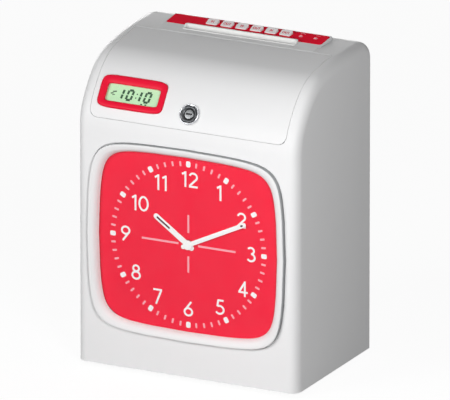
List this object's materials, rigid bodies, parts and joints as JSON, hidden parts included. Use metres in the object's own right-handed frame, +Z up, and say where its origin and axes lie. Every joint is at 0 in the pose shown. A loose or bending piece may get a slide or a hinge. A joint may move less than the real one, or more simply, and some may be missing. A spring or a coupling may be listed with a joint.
{
  "type": "punch card time clock",
  "caption": "Upright plastic time clock with an analogue dial, a locked lid with a small display, and a card slot with keys on top.",
  "frame": {"origin": "on the table, under the middle of the case (bottom centre of the bounding box)", "axes": "+X to the right as seen from the front, -Y out of the dial, +Z up"},
  "size_m": [0.18, 0.126, 0.2439],
  "materials": {
    "case_plastic": "satin moulded off-white",
    "red_plastic": "glossy red",
    "red_dial": "matt red print",
    "white_hands": "white enamel",
    "clear_plastic": "clear polished",
    "lcd_glass": "pale green liquid crystal",
    "black_rubber": "matt",
    "black_plastic": "fine texture",
    "circuit_board": "green solder mask",
    "bright_steel": "zinc plated sheet and bar",
    "chromed_metal": "mirror",
    "lock_steel": "dark nickel",
    "gear_brass": "machined",
    "key_plastic": "white keycap",
    "winding_copper": "laminated core with varnished windings"
  },
  "bodies": {
    "root": {"back_cover": "case_plastic", "base_plate": "black_plastic", "card_chute_front": "bright_steel", "card_chute_rear": "bright_steel", "carriage_belt": "black_rubber", "carriage_motor": "bright_steel", "dial_bezel": "case_plastic", "dial_carrier": "black_plastic", "dial_lens": "clear_plastic", "dial_plate": "red_dial", "feed_motor": "bright_steel", "foot_1": "black_rubber", "foot_2": "black_rubber", "foot_3": "black_rubber", "foot_4": "black_rubber", "guide_rod": "chromed_metal", "hinge_rod": "bright_steel", "keypad_board": "circuit_board", "keypad_panel": "red_plastic", "main_board": "circuit_board", "main_case": "case_plastic", "movement_housing": "black_plastic", "power_inlet": "black_plastic", "ribbon_cassette": "black_plastic", "side_frame_left": "bright_steel", "side_frame_right": "bright_steel", "slot_lip": "case_plastic", "status_lamp_1": "red_plastic", "status_lamp_2": "red_plastic", "transformer": "winding_copper"},
    "lid_unit": {"lid": "case_plastic", "display_frame": "red_plastic", "display_window": "clear_plastic", "lcd_module": "lcd_glass", "display_board": "circuit_board", "lock_barrel": "chromed_metal"},
    "lock_core": {"lock_plug": "lock_steel", "lock_cam": "bright_steel"},
    "setup_button_a": {"setup_button_1": "black_plastic"},
    "setup_button_b": {"setup_button_2": "black_plastic"},
    "minute_train": {"minute_arbor": "gear_brass", "minute_hand": "white_hands"},
    "reduction": {"reduction_wheel": "gear_brass"},
    "hour_train": {"hour_wheel": "gear_brass", "hour_hand": "white_hands"},
    "rotor": {"motor_rotor": "black_plastic"},
    "carriage": {"print_carriage": "black_plastic", "print_head": "bright_steel"},
    "drive_pulley": {"drive_pulley": "bright_steel"},
    "idler_pulley": {"idler_pulley": "bright_steel"},
    "feed": {"feed_roller": "black_rubber"},
    "pinch": {"pinch_roller": "black_rubber"},
    "feed_drive": {"feed_pinion": "gear_brass"},
    "ribbon_knob": {"ribbon_knob": "red_plastic"},
    "key_1": {"key_1": "key_plastic"},
    "key_2": {"key_2": "key_plastic"},
    "key_3": {"key_3": "key_plastic"},
    "key_4": {"key_4": "key_plastic"},
    "key_5": {"key_5": "key_plastic"},
    "key_6": {"key_6": "key_plastic"}
  },
  "joints": [
    {"name": "lid_hinge", "type": "hinge", "parent": "root", "child": "lid_unit", "pos_m": [0, 0.014, 0.23538], "axis": [-1, 0, 0], "range_deg": [0, 90]},
    {"name": "lock_turn", "type": "hinge", "parent": "lid_unit", "child": "lock_core", "pos_m": [0, -0.05464, 0.203], "axis": [0, 0.866, -0.5], "range_deg": [0, 90]},
    {"name": "setup_button_1_press", "type": "slide", "parent": "lid_unit", "child": "setup_button_a", "axis": [0, -0.8121, 0.5835], "range_m": [0, 0.0006], "stiffness_N_per_m": 300, "springref_m": -0.001},
    {"name": "setup_button_2_press", "type": "slide", "parent": "lid_unit", "child": "setup_button_b", "axis": [0, -0.8121, 0.5835], "range_m": [0, 0.0006], "stiffness_N_per_m": 300, "springref_m": -0.001},
    {"name": "minute_turn", "type": "hinge", "parent": "root", "child": "minute_train", "pos_m": [0, -0.058, 0.104], "axis": [0, 1, 0], "continuous": true},
    {"name": "reduction_turn", "type": "hinge", "parent": "root", "child": "reduction", "pos_m": [-0.00848, -0.052, 0.09552], "axis": [0, 1, 0], "continuous": true},
    {"name": "hour_turn", "type": "hinge", "parent": "root", "child": "hour_train", "pos_m": [0, -0.056, 0.104], "axis": [0, 1, 0], "continuous": true},
    {"name": "rotor_turn", "type": "hinge", "parent": "root", "child": "rotor", "pos_m": [0.01237, -0.048, 0.11637], "axis": [0, 1, 0], "continuous": true},
    {"name": "key_1_press", "type": "slide", "parent": "root", "child": "key_1", "axis": [0, 0.0998, -0.995], "range_m": [0, 0.0012], "stiffness_N_per_m": 400, "springref_m": -0.001},
    {"name": "key_2_press", "type": "slide", "parent": "root", "child": "key_2", "axis": [0, 0.0998, -0.995], "range_m": [0, 0.0012], "stiffness_N_per_m": 400, "springref_m": -0.001},
    {"name": "key_3_press", "type": "slide", "parent": "root", "child": "key_3", "axis": [0, 0.0998, -0.995], "range_m": [0, 0.0012], "stiffness_N_per_m": 400, "springref_m": -0.001},
    {"name": "key_4_press", "type": "slide", "parent": "root", "child": "key_4", "axis": [0, 0.0998, -0.995], "range_m": [0, 0.0012], "stiffness_N_per_m": 400, "springref_m": -0.001},
    {"name": "key_5_press", "type": "slide", "parent": "root", "child": "key_5", "axis": [0, 0.0998, -0.995], "range_m": [0, 0.0012], "stiffness_N_per_m": 400, "springref_m": -0.001},
    {"name": "key_6_press", "type": "slide", "parent": "root", "child": "key_6", "axis": [0, 0.0998, -0.995], "range_m": [0, 0.0012], "stiffness_N_per_m": 400, "springref_m": -0.001},
    {"name": "carriage_slide", "type": "slide", "parent": "root", "child": "carriage", "axis": [1, 0, 0], "range_m": [-0.03, 0.03]},
    {"name": "drive_pulley_turn", "type": "hinge", "parent": "root", "child": "drive_pulley", "pos_m": [-0.052, -0.005, 0.16], "axis": [0, 1, 0], "range_deg": [-300, 300]},
    {"name": "idler_pulley_turn", "type": "hinge", "parent": "root", "child": "idler_pulley", "pos_m": [0.052, -0.005, 0.16], "axis": [0, 1, 0], "range_deg": [-300, 300]},
    {"name": "feed_turn", "type": "hinge", "parent": "root", "child": "feed", "pos_m": [0, 0.0194, 0.118], "axis": [1, 0, 0], "continuous": true},
    {"name": "pinch_turn", "type": "hinge", "parent": "root", "child": "pinch", "pos_m": [0, 0.036, 0.118], "axis": [1, 0, 0], "continuous": true},
    {"name": "feed_pinion_turn", "type": "hinge", "parent": "root", "child": "feed_drive", "pos_m": [0, 0.0014, 0.118], "axis": [1, 0, 0], "continuous": true},
    {"name": "ribbon_knob_turn", "type": "hinge", "parent": "root", "child": "ribbon_knob", "pos_m": [0.026, 0, 0.193], "axis": [0, 0, 1], "continuous": true}
  ],
  "couplings": [
    {"joint": "reduction_turn", "follows": "minute_turn", "ratio": -0.33333},
    {"joint": "hour_turn", "follows": "minute_turn", "ratio": 0.083333},
    {"joint": "rotor_turn", "follows": "minute_turn", "ratio": -6},
    {"joint": "drive_pulley_turn", "follows": "carriage_slide", "rad_per_m": -166.67},
    {"joint": "idler_pulley_turn", "follows": "carriage_slide", "rad_per_m": -166.67},
    {"joint": "pinch_turn", "follows": "feed_turn", "ratio": -1},
    {"joint": "feed_pinion_turn", "follows": "feed_turn", "ratio": -2}
  ]
}
